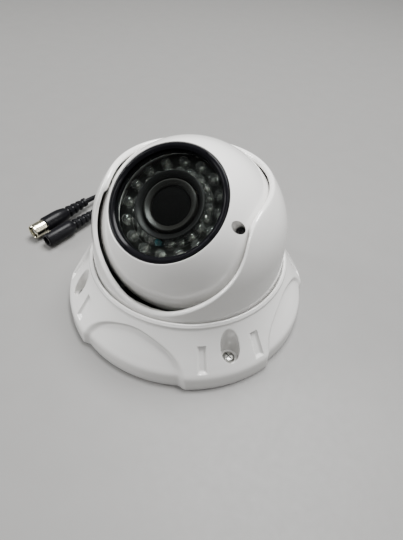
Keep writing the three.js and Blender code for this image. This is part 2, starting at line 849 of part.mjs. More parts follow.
function videoPlug() {
  const plug = plugGroup(VIDEO_PLUG.tail, VIDEO_PLUG.mouth);
  const tailEnd = 17.5;
  const bodyEnd = 36.4;
  const outline = [...ribbedTail(0, tailEnd, 3.1, 4.1, 4).slice(0, -1)];
  outline.push([4.4, tailEnd + 1.5], [5.2, tailEnd + 5], [5.4, bodyEnd - 1], [5.0, bodyEnd], [0, bodyEnd]);
  add("video_plug_body", lathe(outline, 10), RUBBER, plug);
  const barrel = lathe(
    [
      [4.2, bodyEnd + CLEARANCE],
      [4.8, bodyEnd + CLEARANCE],
      [4.8, bodyEnd + 8.6],
      [4.4, bodyEnd + 9.0],
      [4.0, bodyEnd + 9.0],
      [4.0, bodyEnd + 1.6],
      [0, bodyEnd + 1.6],
      [0, bodyEnd + CLEARANCE],
    ],
    16,
  );
  const lug = (side) =>
    disc(0.9, 4.4, 5.5, 8).rotateY(Math.PI / 2).rotateZ(side).translate(0, 0, bodyEnd + 6.6);
  add("video_socket", join(barrel, lug(0.9), lug(0.9 + Math.PI)), NICKEL, plug);
  const core = lathe(
    [
      [0, bodyEnd + 1.6 + CLEARANCE],
      [2.4, bodyEnd + 1.6 + CLEARANCE],
      [2.4, bodyEnd + 7.4],
      [0.8, bodyEnd + 7.4],
      [0.8, bodyEnd + 4.0],
      [0, bodyEnd + 4.0],
    ],
    16,
  );
  add("video_socket_core", core, LAMP_RESIN, plug);
}

function powerPlug() {
  const plug = plugGroup(POWER_PLUG.tail, POWER_PLUG.mouth);
  const tailEnd = 20.0;
  const bodyEnd = 41.4;
  const outline = [...ribbedTail(0, tailEnd, 2.9, 3.6, 5).slice(0, -1)];
  outline.push(
    [3.9, tailEnd + 0.8],
    [4.7, tailEnd + 3],
    [4.7, bodyEnd - 0.8],
    [4.3, bodyEnd],
    [2.9, bodyEnd],
    [2.9, bodyEnd - 9.5],
    [0, bodyEnd - 9.5],
  );
  add("power_plug_body", lathe(outline, 10), RUBBER, plug);
  const pin = disc(1.05, bodyEnd - 9.5 + CLEARANCE, bodyEnd - 1.2, 10);
  add("power_pin", pin, NICKEL, plug);
}

function buildTail() {
  add("main_cable", tube(MAIN_ROUTE, CABLE_RADIUS, 14), RUBBER);
  const { centre, turn, length, thickness, narrow, wide } = SPLITTER;
  const shape = new THREE.Shape([
    new THREE.Vector2(-length / 2, -narrow),
    new THREE.Vector2(length / 2, -wide),
    new THREE.Vector2(length / 2, wide),
    new THREE.Vector2(-length / 2, narrow),
  ]);
  const body = new THREE.ExtrudeGeometry(shape, { depth: thickness, bevelEnabled: false });
  body.translate(0, 0, -thickness / 2);
  add("cable_splitter", body, RUBBER, group(camera, centre, [0, 0, turn]));
  add("video_lead", tube(VIDEO_ROUTE, LEAD_RADIUS, 12), RUBBER);
  add("power_lead", tube(POWER_ROUTE, LEAD_RADIUS, 12), RUBBER);
  videoPlug();
  powerPlug();
}

// ---------- assembly ----------

buildBase();
buildYoke();
buildSeat();
ballShells();
sideScrews();
frontWindow();
lamps();
lensHood();
lens();
electronics();
buildTail();

export default camera;
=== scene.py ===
"""The looks of the dome camera: smooth shells, lamps, lens, plugs and cords over the CAD frame."""

import json
import math

import bmesh
import bpy
from mathutils import Matrix, Vector


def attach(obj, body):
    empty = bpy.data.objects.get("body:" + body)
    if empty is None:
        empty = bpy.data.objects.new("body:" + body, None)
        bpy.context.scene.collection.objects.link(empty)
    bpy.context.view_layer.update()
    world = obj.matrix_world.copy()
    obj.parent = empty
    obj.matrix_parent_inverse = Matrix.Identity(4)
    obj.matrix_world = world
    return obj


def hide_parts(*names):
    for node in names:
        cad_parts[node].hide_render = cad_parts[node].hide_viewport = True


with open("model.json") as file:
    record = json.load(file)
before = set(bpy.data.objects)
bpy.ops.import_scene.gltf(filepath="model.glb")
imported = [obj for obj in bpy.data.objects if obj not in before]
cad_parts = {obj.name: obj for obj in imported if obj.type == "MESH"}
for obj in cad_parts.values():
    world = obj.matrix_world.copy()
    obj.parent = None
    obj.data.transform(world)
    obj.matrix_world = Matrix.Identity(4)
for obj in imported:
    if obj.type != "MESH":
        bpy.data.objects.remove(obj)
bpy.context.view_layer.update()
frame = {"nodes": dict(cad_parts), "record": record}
nodes = frame["nodes"]

MM = 0.001

# ---------- dimensions in millimetres, as in the CAD ----------

SCALLOPS = 4
ZONE_ANGLES = (46.8, 133.2, 226.8, 313.2)
FLANK = [
    (70.0, 0.0),
    (69.8, 3.5),
    (69.1, 8.0),
    (66.6, 12.2),
    (62.3, 18.6),
    (58.2, 25.0),
    (56.1, 28.4),
    (55.2, 30.0),
    (55.0, 31.4),
    (54.3, 32.3),
]
LIP_RADIUS = 53.0
SCALLOP_DEPTH = 2.2
SCALLOP_HALF_ANGLE = 26.4
SCALLOP_HEIGHT = 27.0
POCKET_RADIUS = 5.0
POCKET_DISTANCE = 61.1
POCKET_FLOOR = 10.0
POCKET_WALL = 2.0
POCKET_FLOOR_WALL = 2.2
SLOT_ANGLE = 13.5
SLOT_WIDTH = 3.9
SLOT_BOTTOM = 10.6
SLOT_TOP = 22.5
SLOT_DEPTH = 1.5

YOKE_TURN = 4.0
YOKE_RADIUS = 51.6
YOKE_SKIRT_RADIUS = 52.4
YOKE_INSIDE = 49.2
YOKE_LIP_RADIUS = 47.8
YOKE_LIP_FROM = 29.0
YOKE_LIP_TO = 31.5
YOKE_BOTTOM = 24.6
YOKE_FLANGE_RADIUS = 54.3
YOKE_FLANGE_TOP = 26.8
RIM = [
    (0, -15.2),
    (10, -14.2),
    (18, -11.6),
    (26, -7.6),
    (33, -3.2),
    (39, 1.8),
    (44, 7.0),
    (49, 13.4),
    (53, 20.0),
    (57, 27.4),
    (61, 32.0),
    (67, 35.4),
    (76, 37.6),
    (92, 38.6),
    (130, 38.0),
    (180, 36.0),
]
RIM_TAPER = 0.02

BALL_HEIGHT = 48.4
BALL_RADIUS = 47.0
BALL_WALL = 2.6
REAR_RADIUS = 46.6
LENS_TURN = -6.4
LENS_TILT = 36.0
FACE = 36.6
TRIM_RADIUS = 29.3
TRIM_WINDOW = 26.4
LAMP_RADIUS = 2.5
LAMP_TIP = 31.0
LAMP_PLATE = 24.9
# each ring: node, distance from the lens axis, places, first place's angle, places left empty at the start
LAMP_RINGS = [("lamp_ring_outer", 23.5, 16, 60, 0), ("lamp_ring_inner", 18.1, 21, -82, 1)]
LENS_RADIUS = 13.2
SIDE_SCREW_DISTANCE = 35.1
SIDE_SCREW_AROUND = (5, 185)
SIDE_SCREW_HOLE = 2.7
SIDE_SCREW_FLOOR = 23.4
SIDE_SCREW_COLUMN = 4.4

CABLE_RADIUS = 2.4
LEAD_RADIUS = 1.7
MAIN_ROUTE = [
    (0, 67.7, 5.2),
    (0, 76, 5.0),
    (1.5, 85, 3.6),
    (8, 97, 2.6),
    (13, 109, 2.5),
    (9, 122, 2.5),
    (-3, 130, 2.5),
    (-17, 129.5, 2.6),
    (-33.1, 120.5, 2.9),
]
VIDEO_ROUTE = [
    (-51.6, 111.0, 2.9),
    (-62, 104, 2.4),
    (-74, 95, 1.9),
    (-86, 82, 1.9),
    (-93, 67.5, 2.0),
    (-96.5, 53, 3.0),
    (-99.2, 41, 5.0),
    (-100.69, 33.7, 5.7),
]
POWER_ROUTE = [
    (-49.1, 107.2, 2.9),
    (-59, 99.5, 2.4),
    (-69.5, 87, 1.9),
    (-77, 73, 1.9),
    (-82.5, 60, 1.9),
    (-84.5, 46, 2.8),
    (-86.3, 34.7, 4.5),
    (-87.83, 28.0, 5.0),
]
VIDEO_PLUG = ((-100.75, 33.4, 5.7), (-109.8, -11.1, 5.9))
POWER_PLUG = ((-87.9, 27.7, 5.0), (-97.4, -12.6, 5.1))

BALL = (
    Matrix.Translation((0, 0, BALL_HEIGHT))
    @ Matrix.Rotation(math.radians(LENS_TURN), 4, "Z")
    @ Matrix.Rotation(math.radians(LENS_TILT), 4, "X")
)
YOKE = Matrix.Rotation(math.radians(YOKE_TURN), 4, "Z")
ROW = Matrix.Identity(4)


# ---------- materials ----------


def shader(name):
    """A new node material: itself, its node tree's functions, and its Principled BSDF."""
    material = bpy.data.materials.new(name)
    material.use_nodes = True
    principled = material.node_tree.nodes["Principled BSDF"]
    return material, material.node_tree, principled


def mottle(tree, scale, low, high, target):
    """Drives an input with noise mapped from low to high."""
    coords = tree.nodes.new("ShaderNodeTexCoord")
    noise = tree.nodes.new("ShaderNodeTexNoise")
    noise.inputs["Scale"].default_value = scale
    noise.inputs["Detail"].default_value = 3.0
    tree.links.new(coords.outputs["Object"], noise.inputs["Vector"])
    if target.type == "RGBA":
        mix = tree.nodes.new("ShaderNodeMix")
        mix.data_type = "RGBA"
        mix.inputs["A"].default_value = (*low, 1)
        mix.inputs["B"].default_value = (*high, 1)
        tree.links.new(noise.outputs["Fac"], mix.inputs["Factor"])
        tree.links.new(mix.outputs["Result"], target)
    else:
        spread = tree.nodes.new("ShaderNodeMapRange")
        spread.inputs["To Min"].default_value = low
        spread.inputs["To Max"].default_value = high
        tree.links.new(noise.outputs["Fac"], spread.inputs["Value"])
        tree.links.new(spread.outputs["Result"], target)


def grain(tree, principled, scale, strength, distance):
    """A fine bump over the whole surface."""
    coords = tree.nodes.new("ShaderNodeTexCoord")
    noise = tree.nodes.new("ShaderNodeTexNoise")
    noise.inputs["Scale"].default_value = scale
    bump = tree.nodes.new("ShaderNodeBump")
    bump.inputs["Strength"].default_value = strength
    bump.inputs["Distance"].default_value = distance
    tree.links.new(coords.outputs["Object"], noise.inputs["Vector"])
    tree.links.new(noise.outputs["Fac"], bump.inputs["Height"])
    tree.links.new(bump.outputs["Normal"], principled.inputs["Normal"])


def surface(name, dark, light, rough, metallic=0.0, bump=0.0, coat=0.0, shine=0.5):
    """An opaque finish whose colour and roughness vary a little over it."""
    material, tree, principled = shader(name)
    principled.inputs["Metallic"].default_value = metallic
    principled.inputs["Coat Weight"].default_value = coat
    principled.inputs["Coat Roughness"].default_value = 0.05
    principled.inputs["Specular IOR Level"].default_value = shine
    mottle(tree, 60, dark, light, principled.inputs["Base Color"])
    mottle(tree, 240, rough[0], rough[1], principled.inputs["Roughness"])
    if bump:
        grain(tree, principled, 900, bump, 0.0002)
    return material


def clear(name, tint, roughness, ior, see_through, clearness=1.0):
    """A clear material that lets a share of the light straight through."""
    material, tree, principled = shader(name)
    principled.inputs["Transmission Weight"].default_value = clearness
    principled.inputs["IOR"].default_value = ior
    mottle(tree, 90, tint, tint, principled.inputs["Base Color"])
    mottle(tree, 200, roughness, roughness * 1.6, principled.inputs["Roughness"])
    straight = tree.nodes.new("ShaderNodeBsdfTransparent")
    mix = tree.nodes.new("ShaderNodeMixShader")
    mix.inputs["Fac"].default_value = see_through
    output = tree.nodes["Material Output"]
    tree.links.new(principled.outputs["BSDF"], mix.inputs[1])
    tree.links.new(straight.outputs["BSDF"], mix.inputs[2])
    tree.links.new(mix.outputs["Shader"], output.inputs["Surface"])
    return material


def window_material():
    """Thin flat glass: clear, with the reflections of its face."""
    material, tree, principled = shader("window_clear")
    mottle(tree, 50, (0.02, 0.02, 0.02), (0.025, 0.025, 0.025), principled.inputs["Base Color"])
    mottle(tree, 60, 0.01, 0.03, principled.inputs["Roughness"])
    principled.inputs["Specular IOR Level"].default_value = 0.15
    straight = tree.nodes.new("ShaderNodeBsdfTransparent")
    straight.inputs["Color"].default_value = (0.93, 0.95, 0.94, 1)
    mix = tree.nodes.new("ShaderNodeMixShader")
    mix.inputs["Fac"].default_value = 0.97
    tree.links.new(principled.outputs["BSDF"], mix.inputs[1])
    tree.links.new(straight.outputs["BSDF"], mix.inputs[2])
    tree.links.new(mix.outputs["Shader"], tree.nodes["Material Output"].inputs["Surface"])
    return material


LOOKS = {
    "white_paint": surface("white_paint", (0.8, 0.79, 0.765), (0.83, 0.82, 0.8), (0.12, 0.18), coat=0.8),
    "black_gloss": surface(
        "black_gloss", (0.003, 0.003, 0.004), (0.006, 0.006, 0.007), (0.12, 0.2), shine=0.06
    ),
    "black_matte": surface(
        "black_matte", (0.004, 0.004, 0.004), (0.008, 0.008, 0.008), (0.3, 0.42), shine=0.1
    ),
    "rubber": surface(
        "rubber", (0.003, 0.003, 0.004), (0.007, 0.007, 0.008), (0.26, 0.38), bump=0.1, shine=0.1
    ),
    "steel": surface("steel", (0.3, 0.3, 0.29), (0.42, 0.42, 0.4), (0.24, 0.4), 1.0),
    "black_steel": surface("black_steel", (0.02, 0.02, 0.02), (0.05, 0.05, 0.05), (0.3, 0.5), 1.0),
    "zinc": surface("zinc", (0.5, 0.5, 0.47), (0.62, 0.62, 0.6), (0.3, 0.5), 0.8),
    "window_clear": window_material(),
    "lens_glass": surface(
        "lens_glass", (0.002, 0.002, 0.002), (0.004, 0.004, 0.004), (0.04, 0.07), shine=0.0
    ),
    "lamp_resin": clear("lamp_resin", (0.86, 0.88, 0.85), 0.01, 1.5, 0.42, 0.96),
    "sensor_resin": surface(
        "sensor_resin", (0.006, 0.045, 0.055), (0.012, 0.08, 0.095), (0.05, 0.1), coat=1.0
    ),
    "green_board": surface("green_board", (0.01, 0.06, 0.02), (0.02, 0.1, 0.035), (0.35, 0.5)),
    "dark_board": surface("dark_board", (0.004, 0.005, 0.004), (0.009, 0.01, 0.009), (0.35, 0.5), shine=0.3),
    "nickel": surface("nickel", (0.72, 0.68, 0.52), (0.8, 0.76, 0.6), (0.14, 0.24), 1.0),
    "brass": surface("brass", (0.55, 0.4, 0.16), (0.65, 0.48, 0.22), (0.25, 0.4), 1.0),
    "nylon": surface("nylon", (0.014, 0.014, 0.015), (0.024, 0.024, 0.025), (0.4, 0.55)),
    "socket_plastic": surface("socket_plastic", (0.6, 0.6, 0.56), (0.7, 0.7, 0.66), (0.3, 0.45)),
    "lead_frame": surface("lead_frame", (0.6, 0.6, 0.58), (0.75, 0.75, 0.72), (0.12, 0.25), 1.0),
    "lens_ring": surface("lens_ring", (0.008, 0.008, 0.007), (0.012, 0.011, 0.01), (0.32, 0.42), shine=0.25),
}


# ---------- shape helpers ----------


def piece(name, mesh_parts, slot, body, replaces=(), place=ROW, sharp=40, look=None):
    """One mesh object in millimetres, placed, finished, and riding on a CAD body."""
    mesh = bpy.data.meshes.new(name)
    builder = bmesh.new()
    for points, faces in mesh_parts:
        verts = [builder.verts.new(place @ Vector(p) * MM) for p in points]
        for face in faces:
            if len(set(face)) > 2:
                builder.faces.new([verts[i] for i in face])
    bmesh.ops.remove_doubles(builder, verts=builder.verts, dist=1e-7)
    bmesh.ops.recalc_face_normals(builder, faces=builder.faces)
    builder.to_mesh(mesh)
    builder.free()
    smooth(mesh, sharp)
    made = bpy.data.objects.new(name, mesh)
    bpy.context.scene.collection.objects.link(made)
    mesh.materials.append(LOOKS[look or slot])
    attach(made, body)
    if replaces:
        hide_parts(*replaces)
    return made


def smooth(mesh, sharp):
    mesh.shade_smooth()
    mesh.set_sharp_from_angle(angle=math.radians(sharp))


def moved(part, matrix):
    points, faces = part
    return [tuple(matrix @ Vector(p)) for p in points], faces


def hoop(outline_at, segments):
    """A closed outline of (radius, height) points carried round Z; the angle starts at the front."""
    points = []
    for i in range(segments):
        angle = math.tau * i / segments
        outline = outline_at(math.degrees(angle))
        points += [(r * math.sin(angle), -r * math.cos(angle), z) for r, z in outline]
    count = len(outline)
    faces = []
    for i in range(segments):
        a = i * count
        b = (i + 1) % segments * count
        for k in range(count):
            after = (k + 1) % count
            faces.append((a + k, b + k, b + after, a + after))
    return points, faces


def lathe(outline, segments=96):
    return hoop(lambda angle: outline, segments)


def arc(radius, start, end, steps, centre=0.0):
    """Points of an arc about (0, centre); the angles are above the horizontal, in degrees."""
    angles = [math.radians(start + (end - start) * i / steps) for i in range(steps + 1)]
    return [(radius * math.cos(a), centre + radius * math.sin(a)) for a in angles]


def block(width, depth, bottom, top):
    x, y = width / 2, depth / 2
    points = [(sx * x, sy * y, z) for z in (bottom, top) for sx, sy in ((-1, -1), (1, -1), (1, 1), (-1, 1))]
    faces = [(0, 3, 2, 1), (4, 5, 6, 7), (0, 1, 5, 4), (1, 2, 6, 5), (2, 3, 7, 6), (3, 0, 4, 7)]
    return points, faces


def prism(plan, bottom, top):
    """A solid with this plan of (x, y) points and upright sides."""
    count = len(plan)
    points = [(x, y, bottom) for x, y in plan] + [(x, y, top) for x, y in plan]
    sides = [(i, (i + 1) % count, count + (i + 1) % count, count + i) for i in range(count)]
    return points, sides + [tuple(range(count))[::-1], tuple(range(count, 2 * count))]


def outwards(angle, distance=0.0, height=0.0):
    """A place at a distance from the Z axis, its +X pointing away from it."""
    turn = Matrix.Rotation(math.radians(angle - 90), 4, "Z")
    return turn @ Matrix.Translation((distance, 0, height))


def carve(target, cutters, operation="DIFFERENCE"):
    """Cuts plain mesh parts out of an object, then throws the cutters away."""
    for part in cutters:
        mesh = bpy.data.meshes.new("cutter")
        builder = bmesh.new()
        points, faces = part
        verts = [builder.verts.new(Vector(p) * MM) for p in points]
        for face in faces:
            builder.faces.new([verts[i] for i in face])
        bmesh.ops.recalc_face_normals(builder, faces=builder.faces)
        builder.to_mesh(mesh)
        builder.free()
        cutter = bpy.data.objects.new("cutter", mesh)
        bpy.context.scene.collection.objects.link(cutter)
        modifier = target.modifiers.new("cut", "BOOLEAN")
        modifier.operation = operation
        modifier.solver = "EXACT"
        modifier.object = cutter
        bpy.context.view_layer.update()
        result = bpy.data.meshes.new_from_object(target.evaluated_get(bpy.context.evaluated_depsgraph_get()))
        target.modifiers.clear()
        target.data = result
        bpy.data.objects.remove(cutter)


def join_objects(target, other):
    """Unites another object's mesh with the target's, then throws the other away."""
    modifier = target.modifiers.new("join", "BOOLEAN")
    modifier.operation = "UNION"
    modifier.solver = "EXACT"
    modifier.object = other
    bpy.context.view_layer.update()
    result = bpy.data.meshes.new_from_object(target.evaluated_get(bpy.context.evaluated_depsgraph_get()))
    target.modifiers.clear()
    target.data = result
    bpy.data.objects.remove(other)


def eased(table, x):
    """Smooth interpolation in a table of (x, y) rows."""
    last = len(table) - 1
    i = next((k for k in range(last) if x <= table[k + 1][0]), last - 1)

    def slope(k):
        if k in (0, last):
            return 0.0
        return (table[k + 1][1] - table[k - 1][1]) / (table[k + 1][0] - table[k - 1][0])

    (x0, y0), (x1, y1) = table[i], table[i + 1]
    h = x1 - x0
    t = (x - x0) / h
    s = 1 - t
    value = y0 * s * s * (1 + 2 * t) + y1 * t * t * (1 + 2 * s)
    return value + slope(i) * h * t * s * s - slope(i + 1) * h * s * t * t


def step(low, high, x):
    t = min(max((x - low) / (high - low), 0.0), 1.0)
    return t * t * (3 - 2 * t)


# ---------- camera, lights and floor ----------

CAMERA_PLACE = Vector((75.5, -157.7, 194.0)) * MM
CAMERA_AIM = Vector((1.3, 17.0, 0.0)) * MM
CAMERA_ROLL = 4.2
CAMERA_FIELD = 65.3  # degrees from the top of the picture to its bottom


def make_camera():
    data = bpy.data.cameras.new("camera")
    data.sensor_fit = "VERTICAL"
    data.angle = math.radians(CAMERA_FIELD)
    data.clip_start = 0.01
    data.clip_end = 20
    made = bpy.data.objects.new("camera", data)
    look = (CAMERA_AIM - CAMERA_PLACE).to_track_quat("-Z", "Y").to_matrix().to_4x4()
    roll = Matrix.Rotation(math.radians(CAMERA_ROLL), 4, "Z")
    made.matrix_world = Matrix.Translation(CAMERA_PLACE) @ look @ roll
    bpy.context.scene.collection.objects.link(made)
    bpy.context.scene.camera = made


def area_light(name, place, aim, width, depth, power, color=(1, 1, 1)):
    data = bpy.data.lights.new(name, "AREA")
    data.shape = "RECTANGLE"
    data.size = width
    data.size_y = depth
    data.energy = power
    data.color = color
    made = bpy.data.objects.new(name, data)
    made.location = place
    made.rotation_euler = (Vector(aim) - Vector(place)).to_track_quat("-Z", "Y").to_euler()
    bpy.context.scene.collection.objects.link(made)


def make_stage():
    mesh = bpy.data.meshes.new("floor")
    reach = 6.0
    corners = [(-reach, -reach, 0), (reach, -reach, 0), (reach, reach, 0), (-reach, reach, 0)]
    mesh.from_pydata(corners, [], [(0, 1, 2, 3)])
    floor = bpy.data.objects.new("floor", mesh)
    floor.location.z = -0.0002
    mesh.materials.append(surface("floor_paint", (0.17, 0.168, 0.162), (0.185, 0.182, 0.176), (0.5, 0.6)))
    bpy.context.scene.collection.objects.link(floor)
    world = bpy.data.worlds.new("room")
    world.use_nodes = True
    background = world.node_tree.nodes["Background"]
    background.inputs["Color"].default_value = (0.92, 0.93, 0.95, 1)
    background.inputs["Strength"].default_value = 0.2
    bpy.context.scene.world = world
    area_light("ceiling", (0.05, 0.4, 1.15), (0, 0, 0.04), 0.7, 0.5, 40)
    area_light("tube_right", (0.3, -0.35, 1.3), (0, 0, 0.04), 0.05, 0.9, 5.0)
    area_light("tube_left", (-0.95, -0.2, 0.7), (0, 0, 0.04), 0.05, 0.7, 7.0)
    area_light("window_left", (-1.1, -0.6, 0.6), (0, 0, 0.03), 0.3, 0.3, 7.0)


# ---------- cords and plugs ----------


def smooth_route(points, per_span=6):
    """Points along a centripetal Catmull-Rom curve, in metres."""
    knots = [Vector(p) * MM for p in points]
    padded = [2 * knots[0] - knots[1], *knots, 2 * knots[-1] - knots[-2]]
    route = []
    for p0, p1, p2, p3 in zip(padded, padded[1:], padded[2:], padded[3:]):
        t0 = 0.0
        t1 = t0 + math.sqrt((p1 - p0).length)
        t2 = t1 + math.sqrt((p2 - p1).length)
        t3 = t2 + math.sqrt((p3 - p2).length)
        for k in range(per_span):
            t = t1 + (t2 - t1) * k / per_span
            a1 = p0 * ((t1 - t) / (t1 - t0)) + p1 * ((t - t0) / (t1 - t0))
            a2 = p1 * ((t2 - t) / (t2 - t1)) + p2 * ((t - t1) / (t2 - t1))
            a3 = p2 * ((t3 - t) / (t3 - t2)) + p3 * ((t - t2) / (t3 - t2))
            b1 = a1 * ((t2 - t) / (t2 - t0)) + a2 * ((t - t0) / (t2 - t0))
            b2 = a2 * ((t3 - t) / (t3 - t1)) + a3 * ((t - t1) / (t3 - t1))
            route.append(b1 * ((t2 - t) / (t2 - t1)) + b2 * ((t - t1) / (t2 - t1)))
    return route + [knots[-1]]


def cord_piece(name, route, radius, node):
    """A round cord along a route, as a curve with closed ends."""
    path = smooth_route(route)
    data = bpy.data.curves.new(name, "CURVE")
    data.dimensions = "3D"
    data.bevel_depth = radius * MM
    data.bevel_resolution = 5
    data.use_fill_caps = True
    spline = data.splines.new("POLY")
    spline.points.add(len(path) - 1)
    for point, place in zip(spline.points, path):
        point.co = (*place, 1)
    data.materials.append(LOOKS["rubber"])
    made = bpy.data.objects.new(name, data)
    bpy.context.scene.collection.objects.link(made)
    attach(made, "base")
    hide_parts(node)
    length = sum((b - a).length for a, b in zip(path, path[1:]))
    return made, length


def plug_place(plug):
    tail, mouth = Vector(plug[0]), Vector(plug[1])
    turn = Vector((0, 0, 1)).rotation_difference(mouth - tail).to_matrix().to_4x4()
    return Matrix.Translation(tail) @ turn


def ribbed_tail(start, end, thick, thin, ribs):
    """The outline of a plug's bending tail: a taper with grooves cut round it."""
    outline = [(0.001, start), (thick - 0.3, start), (thick, start + 0.3)]
    pitch = (end - start) / ribs
    for i in range(ribs):
        radius = thick + (thin - thick) * i / (ribs - 1)
        low = start + pitch * i
        outline += [
            (radius, low + pitch * 0.5),
            (radius - 0.2, low + pitch * 0.6),
            (radius * 0.78, low + pitch * 0.66),
            (radius * 0.78, low + pitch * 0.9),
        ]
        if i < ribs - 1:
            outline += [(radius * 0.98 - 0.1, low + pitch * 0.96), (radius, low + pitch * 1.06)]
    return outline


def video_plug():
    place = plug_place(VIDEO_PLUG)
    tail_end, body_end = 17.5, 36.4
    outline = ribbed_tail(0, tail_end, 3.1, 4.1, 4)
    outline += [(4.2, tail_end + 0.6), (4.5, tail_end + 2), (5.15, tail_end + 5), (5.35, tail_end + 8)]
    outline += [(5.4, body_end - 1.2), (5.2, body_end - 0.4), (4.8, body_end), (0.001, body_end)]
    body = piece("video_plug_skin", [lathe(outline, 64)], "rubber", "base", ["video_plug_body"], place, 30)
    barrel = [
        (4.2, body_end + 0.3),
        (4.8, body_end + 0.3),
        (4.8, body_end + 2.4),
        (4.65, body_end + 2.5),
        (4.65, body_end + 2.9),
        (4.8, body_end + 3.0),
        (4.8, body_end + 8.6),
        (4.55, body_end + 9.0),
        (4.2, body_end + 9.0),
        (4.0, body_end + 8.7),
        (4.0, body_end + 1.6),
        (0.001, body_end + 1.6),
        (0.001, body_end + 0.3),
    ]
    parts = [lathe(barrel, 64)]
    lug = lathe([(0.001, 4.4), (0.9, 4.4), (0.9, 5.3), (0.75, 5.5), (0.001, 5.5)], 20)
    for side in (0.9, 0.9 + math.pi):
        turn = Matrix.Rotation(side, 4, "Z") @ Matrix.Rotation(math.pi / 2, 4, "Y")
        parts.append(moved(lug, Matrix.Translation((0, 0, body_end + 6.6)) @ turn))
    socket = piece("video_socket_skin", parts, "nickel", "base", ["video_socket"], place, 30)
    return [body, socket, nodes["video_socket_core"]]


def power_plug():
    place = plug_place(POWER_PLUG)
    tail_end, body_end = 20.0, 41.4
    outline = ribbed_tail(0, tail_end, 2.9, 3.6, 5)
    outline += [(3.8, tail_end + 0.5), (4.1, tail_end + 1.0), (4.55, tail_end + 2.4), (4.7, tail_end + 4)]
    outline += [(4.7, body_end - 1.0), (4.55, body_end - 0.4), (4.2, body_end), (3.0, body_end)]
    outline += [(2.9, body_end - 0.3), (2.9, body_end - 9.5), (0.001, body_end - 9.5)]
    body = piece("power_plug_skin", [lathe(outline, 64)], "rubber", "base", ["power_plug_body"], place, 30)
    pin = [(0.001, body_end - 9.2), (1.05, body_end - 9.2), (1.05, body_end - 1.8), (0.6, body_end - 1.2)]
    pin.append((0.001, body_end - 1.2))
    tip = piece("power_pin_skin", [lathe(pin, 24)], "nickel", "base", ["power_pin"], place)
    return [body, tip]


def splitter():
    length, thickness, narrow, wide = 19.6, 5.6, 3.2, 4.6
    place = Matrix.Translation((-41.7, 114.8, 2.9)) @ Matrix.Rotation(math.radians(213.5), 4, "Z")
    rounding = 1.2
    sections = 24
    points, faces = [], []
    for x, half, inset in (
        (-length / 2, narrow, rounding * 0.5),
        (-length / 2 + rounding, narrow, 0.0),
        (length / 2 - rounding, wide, 0.0),
        (length / 2, wide, rounding * 0.5),
    ):
        for i in range(sections):
            angle = math.tau * i / sections
            y = abs(math.cos(angle)) ** 0.55 * math.copysign(1, math.cos(angle)) * (half - inset)
            z = abs(math.sin(angle)) ** 0.55 * math.copysign(1, math.sin(angle)) * (thickness / 2 - inset)
            points.append((x, y, z))
    for ring in range(3):
        for i in range(sections):
            a, b = ring * sections + i, ring * sections + (i + 1) % sections
            faces.append((a, b, b + sections, a + sections))
    faces += [tuple(range(sections))[::-1], tuple(range(3 * sections, 4 * sections))]
    return piece("splitter_skin", [(points, faces)], "rubber", "base", ["cable_splitter"], place, 50)


def make_cords():
    main, main_length = cord_piece("main_cable_skin", MAIN_ROUTE, CABLE_RADIUS, "main_cable")
    video, video_length = cord_piece("video_lead_skin", VIDEO_ROUTE, LEAD_RADIUS, "video_lead")
    power, power_length = cord_piece("power_lead_skin", POWER_ROUTE, LEAD_RADIUS, "power_lead")
    joint = splitter()
    for lead, length, route, pieces in (
        (video, video_length, VIDEO_ROUTE, video_plug()),
        (power, power_length, POWER_ROUTE, power_plug()),
    ):
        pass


# ---------- base ----------


def scallop_depth(angle, height):
    """How deep the scallop between two screw zones is: an arch with soft side walls."""
    pitch = 360 / SCALLOPS
    from_middle = (angle + pitch / 2) % pitch - pitch / 2
    across = math.hypot(from_middle / SCALLOP_HALF_ANGLE, 0.15) - 0.02  # rounds the top of the arch
    up = max(height, 0) / SCALLOP_HEIGHT
    inside = 1 - (across**1.4 + up**3.2)
    return SCALLOP_DEPTH * step(0.0, 0.2, inside) * (1 - 0.3 * up)


def slot_depth(angle, height):
    """How deep the shallow slots either side of each pocket are."""
    from_zone = min(abs(angle - zone) for zone in ZONE_ANGLES)
    across = math.radians(abs(from_zone - SLOT_ANGLE)) * 64  # millimetres round the flank
    edge = min(SLOT_WIDTH / 2 - across, height - SLOT_BOTTOM, SLOT_TOP - height)
    return SLOT_DEPTH * step(-0.35, 0.35, edge)


def flank(low=0.0, high=32.3, rows=150):
    """The base's outside profile, sampled finely, as (radius, height)."""
    table = [(z, r) for r, z in FLANK]
    heights = [low + (high - low) * i / rows for i in range(rows + 1)]
    return [(eased(table, z), z) for z in heights]


COVER_PROFILE = flank()


def cover_outline(angle):
    outside = [(r - scallop_depth(angle, z) - slot_depth(angle, z), z) for r, z in COVER_PROFILE]
    lip = [(53.95, 32.5), (53.6, 32.55), (53.25, 32.4), (53.05, 32.1), (LIP_RADIUS, 31.7), (LIP_RADIUS, 28.2)]
    wall = ((55.0, 28.2), (59.9, 18.0), (66.4, 8.0), (67.2, 0.0))
    inside = [(r - scallop_depth(angle, z), z) for r, z in wall]
    return outside + lip + inside


def pocket(radius, floor, angle):
    """An upright round solid at a screw pocket's place, with many rows up its side."""
    top, rows = 45.0, 50
    side = [(radius, floor + (top - floor) * i / rows) for i in range(rows + 1)]
    return moved(lathe([(0.001, floor), *side, (0.001, top)], 72), outwards(angle, POCKET_DISTANCE))


